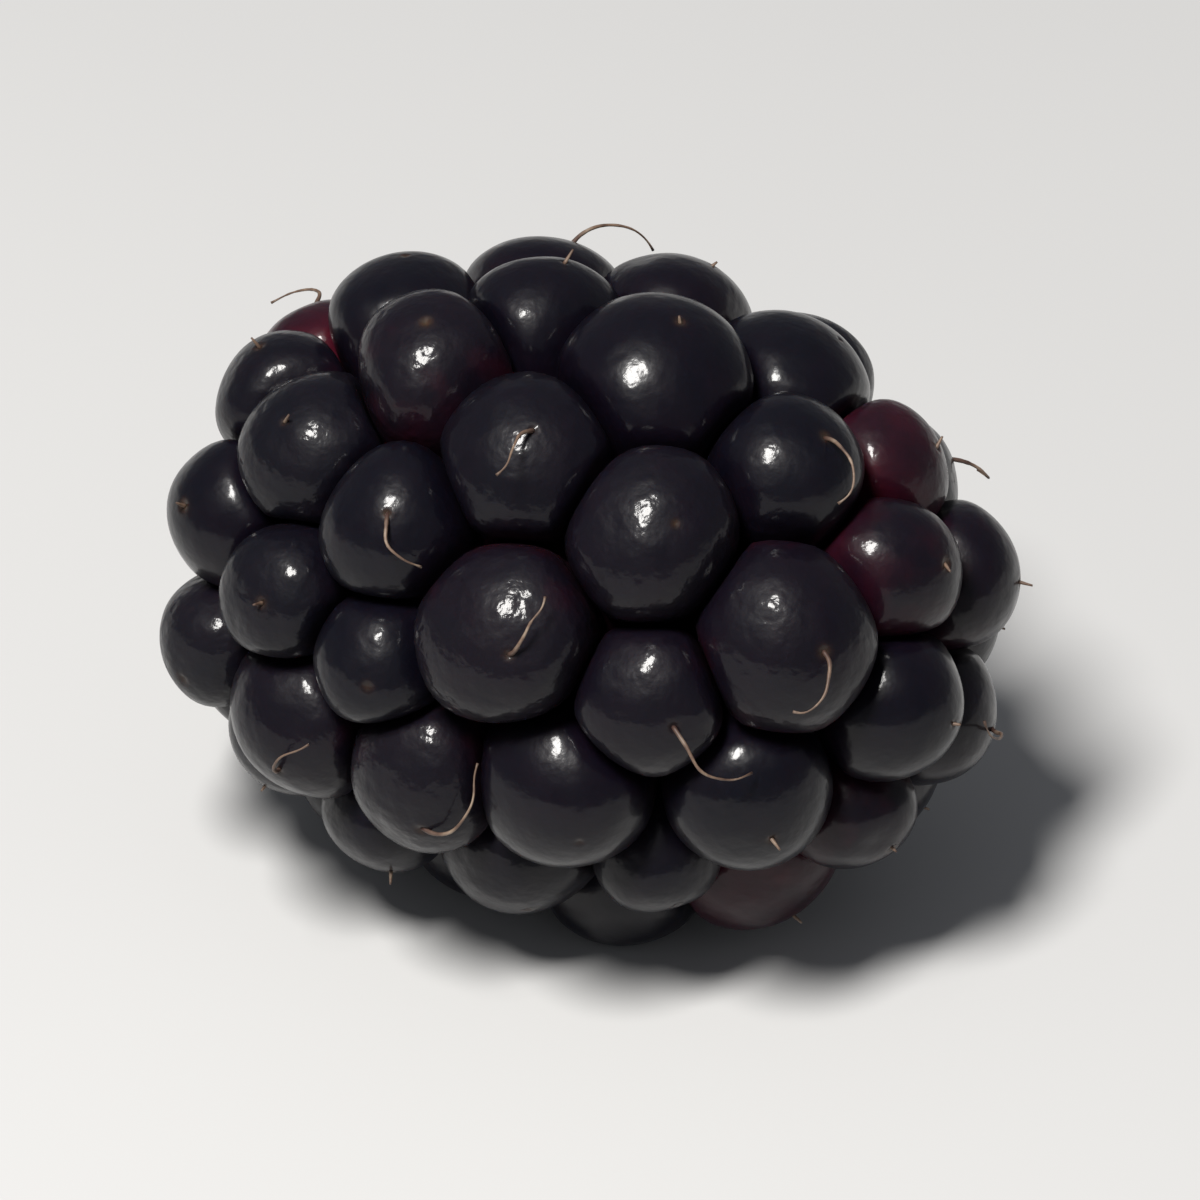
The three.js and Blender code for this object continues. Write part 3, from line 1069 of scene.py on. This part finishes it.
# %% Keep a style clear of the skin
STYLE_RADIUS = 0.047
STYLE_TAPER = (1.7, 0.6)  # shares of the radius at the root and at the tip
STYLE_UNEVEN = 0.07  # share of the radius
STIGMA_SWELL = 0.45  # the knob that once caught the pollen, as a share of the radius
STIGMA_LENGTH = 0.05  # share of the hair


def clear_of_skin(path, least=0.08):
    """Lifts a path's points off every drupelet and off the ground."""
    path = path.copy()
    for k in range(2, len(path)):
        away = path[k] - middles
        distance = np.linalg.norm(away, axis=1)
        near = int(np.argmin(distance - sizes * HALF_WIDTH))
        direction = away[near] / distance[near]
        skin = float(free_radius(direction[None, :], outwards[near], sizes[near])[0])
        if distance[near] < skin + least:
            path[k] = middles[near] + direction * (skin + least)
    path[:, 2] = np.maximum(path[:, 2], 1.6 * STYLE_RADIUS)
    return path


def smoothed(path, times=3):
    for _ in range(times):
        path[1:-1] = (path[:-2] + 2 * path[1:-1] + path[2:]) / 4
    return path


def style_radii(steps):
    """Thick at the root, thin and uneven along the hair, with a small knob at its tip."""
    along = np.linspace(0, 1, steps)
    root, tip = STYLE_TAPER
    thick = tip + (root - tip) * (1 - along) ** 1.7 + style_draw.normal(0, STYLE_UNEVEN, steps)
    return STYLE_RADIUS * (thick + STIGMA_SWELL * np.exp(-(((along - 1) / STIGMA_LENGTH) ** 2)))


print("A style is about", round(2 * STYLE_RADIUS, 2), "mm thick")

# %% [markdown]
# A draw picks which of the upper drupelets keep their style, as on the underside they are rubbed off.
# Many others keep the stub of a broken one. They could be sixty small objects, but they share one
# finish and never move apart, so they are one piece.

# %% Set the styles on the berry
STYLE_COUNT = 14
STYLES_ABOVE = 6.0  # lower ones are rubbed off on what the berry lies on
STUB_SHARE = 0.55  # of the other pits keep a stub
STUBS_ABOVE = 1.0
STUB_TAPER = (1.5, 0.7)


def add_tube(path, radii):
    """Adds a style, and for each of its points how far along it lies."""
    style_faces.extend(tube_faces(len(path), sum(len(p) for p in style_points)))
    style_points.append(tube(path, radii))
    along = np.repeat(np.linspace(0, 1, len(path)), TUBE_SIDES)
    style_along.append(np.concatenate([[0], along, [1]]))


high = [i for i, (pit, _) in enumerate(pits) if pit[2] > STYLES_ABOVE]
chosen = style_draw.choice(high, STYLE_COUNT, replace=False)
style_points, style_faces, style_along = [], [], []
for i, (pit, pole) in enumerate(pits):
    if i in chosen:
        path = smoothed(clear_of_skin(smoothed(style_path(pit, pole))))
        add_tube(path, style_radii(len(path)))
    elif style_draw.random() < STUB_SHARE and pit[2] > STUBS_ABOVE:
        add_tube(stub_path(pit, pole), STYLE_RADIUS * np.linspace(*STUB_TAPER, STUB_STEPS))
along = {"along": np.concatenate(style_along)}
styles = mesh_object("dried_styles", np.vstack(style_points), style_faces, along)
print(STYLE_COUNT, "styles and", len(style_points) - STYLE_COUNT, "stubs")

# %% [markdown]
# A dried style is brown and faintly streaked, and darkest at its root and at the knob on its tip. A
# single brown would make it look like wire. Noise gives the streaks, and the number that says how far
# along the hair a point lies gives the dark ends.

# %% The material of a dried style
DRIED = [(0.3, (0.05, 0.026, 0.018)), (0.52, (0.15, 0.095, 0.065)), (0.72, (0.3, 0.23, 0.17))]
ROOT_BROWN = (0.03, 0.01, 0.009, 1.0)
TIP_BROWN = (0.04, 0.02, 0.014, 1.0)
AT_ROOT = (0.0, 0.3, 0.85, 0.0)  # from the root to this share of the hair, and how brown
AT_TIP = (0.9, 1.0, 0.0, 0.6)


def style_material():
    material, tree, shader, place = new_material("dried_style")
    along = carried(tree, "along")
    streaks = noise(tree, place, 0.5, detail=4.0)
    colour = mixed(tree, spread_range(tree, along, *AT_ROOT), ramp(tree, streaks, DRIED), ROOT_BROWN)
    colour = mixed(tree, spread_range(tree, along, *AT_TIP), colour, TIP_BROWN)
    bump = add(tree, "ShaderNodeBump", {"Height": streaks, "Strength": 0.5, "Distance": 0.02 * MM})
    feed(tree, shader, {"Base Color": colour, "Roughness": 0.55, "Normal": bump.outputs["Normal"]})
    return material


styles.data.materials.append(style_material())
print("The styles' finish is", styles.data.materials[0].name)

# %% [markdown]
# ## The set
# The berry lies on a plain pale floor, which is a stage and no part of it. Pure white would burn out
# under the light and hide how the shadow fades, so it is a light grey with barely visible clouds.

# %% Floor
FLOOR_SIDE = 3.0
FLOOR_WHITES = [(0.3, (0.535, 0.535, 0.535)), (0.7, (0.555, 0.555, 0.552))]
floor = mesh_object(
    "floor",
    np.array([[-1, -1, 0], [1, -1, 0], [1, 1, 0], [-1, 1, 0]]) * FLOOR_SIDE / 2 / MM,
    [(0, 1, 2, 3)],
)


def floor_material():
    material, tree, shader, place = new_material("floor_white")
    colour = ramp(tree, noise(tree, place, 60.0), FLOOR_WHITES)
    feed(tree, shader, {"Base Color": colour, "Roughness": 0.6, "Specular IOR Level": 0.2})
    return material


floor.data.materials.append(floor_material())
print("The floor is", FLOOR_SIDE, "metres wide")

# %% [markdown]
# The camera looks down on the berry from in front and a little from its tip's side. A wide lens from
# near by would swell the nearest drupelets, so it stands 40 cm off with a long one, whose length is
# worked out from how much it should take in.

# %% Camera
from mathutils import Matrix, Vector

CAMERA_AZIMUTH = math.radians(22)
CAMERA_ELEVATION = math.radians(36.5)
CAMERA_DISTANCE = 0.4  # in metres, as all that follows
AIM_BELOW_MIDDLE = 0.0008
SENSOR = 36.0  # in millimetres, as Blender counts lenses and sensors
FRAME_WIDTH = 0.0375  # what the picture takes in at the berry
NEAREST_SEEN = 0.01


def direction_to(azimuth, elevation):
    """From the berry towards a place round it. Azimuth 0 is in front, and it grows towards +X."""
    flat = math.cos(elevation)
    return Vector((math.sin(azimuth) * flat, -math.cos(azimuth) * flat, math.sin(elevation)))


def aimed_at(place, target):
    """The matrix of something at a place that looks at a target."""
    back = (place - target).normalized()
    return Matrix.Translation(place) @ back.to_track_quat("Z", "Y").to_matrix().to_4x4()


berry_low, berry_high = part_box("drupelets")
target = (berry_low + berry_high) / 2 - Vector((0, 0, AIM_BELOW_MIDDLE))
camera = bpy.data.objects.new("camera", bpy.data.cameras.new("camera"))
camera.data.sensor_width = SENSOR
camera.data.lens = SENSOR * CAMERA_DISTANCE / FRAME_WIDTH
camera.data.clip_start = NEAREST_SEEN
bpy.context.scene.collection.objects.link(camera)
camera.matrix_world = aimed_at(
    target + CAMERA_DISTANCE * direction_to(CAMERA_AZIMUTH, CAMERA_ELEVATION), target
)
bpy.context.scene.camera = camera
print("The lens is", round(camera.data.lens), "mm long")

# %% [markdown]
# Black skin shows little but what it mirrors, so the light is chosen for its reflections. One small
# bright softbox high up puts a sharp spark on the upper side of every drupelet, a little longer than
# it is wide. A second lamp would put a second spark there, so a dim even sky does the rest: it greys
# the skin where it turns away from the eye, and keeps the shadow on the floor soft.

# %% Lights
SOFTBOX_AZIMUTH = math.radians(-12)
SOFTBOX_ELEVATION = math.radians(64)
SOFTBOX_DISTANCE = 0.35
SOFTBOX_SIZE = (0.08, 0.13)
SOFTBOX_WATTS = 2.0
WARM_WHITE = (1.0, 0.98, 0.95)
SKY_WHITE = (0.9, 0.93, 1.0, 1.0)
SKY_STRENGTH = 0.17

light = bpy.data.lights.new("softbox", "AREA")
light.shape = "ELLIPSE"
light.size, light.size_y = SOFTBOX_SIZE
light.energy = SOFTBOX_WATTS
light.color = WARM_WHITE
softbox = bpy.data.objects.new("softbox", light)
bpy.context.scene.collection.objects.link(softbox)
away = SOFTBOX_DISTANCE * direction_to(SOFTBOX_AZIMUTH, SOFTBOX_ELEVATION)
softbox.matrix_world = aimed_at(target + away, target)

world = bpy.data.worlds.new("sky")
bpy.context.scene.world = world
world.use_nodes = True
sky = {"Color": SKY_WHITE, "Strength": SKY_STRENGTH}
feed(world.node_tree, world.node_tree.nodes["Background"], sky)
bpy.context.scene.view_settings.view_transform = "Standard"
print("The softbox is", round(softbox.location.z, 2), "m above the floor")

# %% [markdown]
# ## Fixing the pieces to the frame
# Each piece rides on the berry's one body and stands for the plain node whose form it refines, which is
# hidden. The flesh round the scar and between the drupelets and the styles have no node of their own
# and ride with the rest. Pieces could be parented by hand, but these calls parent each to the body and
# keep it where it is.

# %% Frame
for piece, node, slot in (
    (cluster, "drupelets", "drupelet_skin"),
    (receptacle, "receptacle", "receptacle_flesh"),
):
    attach(piece, "root")
    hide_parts(node)
for piece in (flesh_back, flesh_between, styles):
    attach(piece, "root")
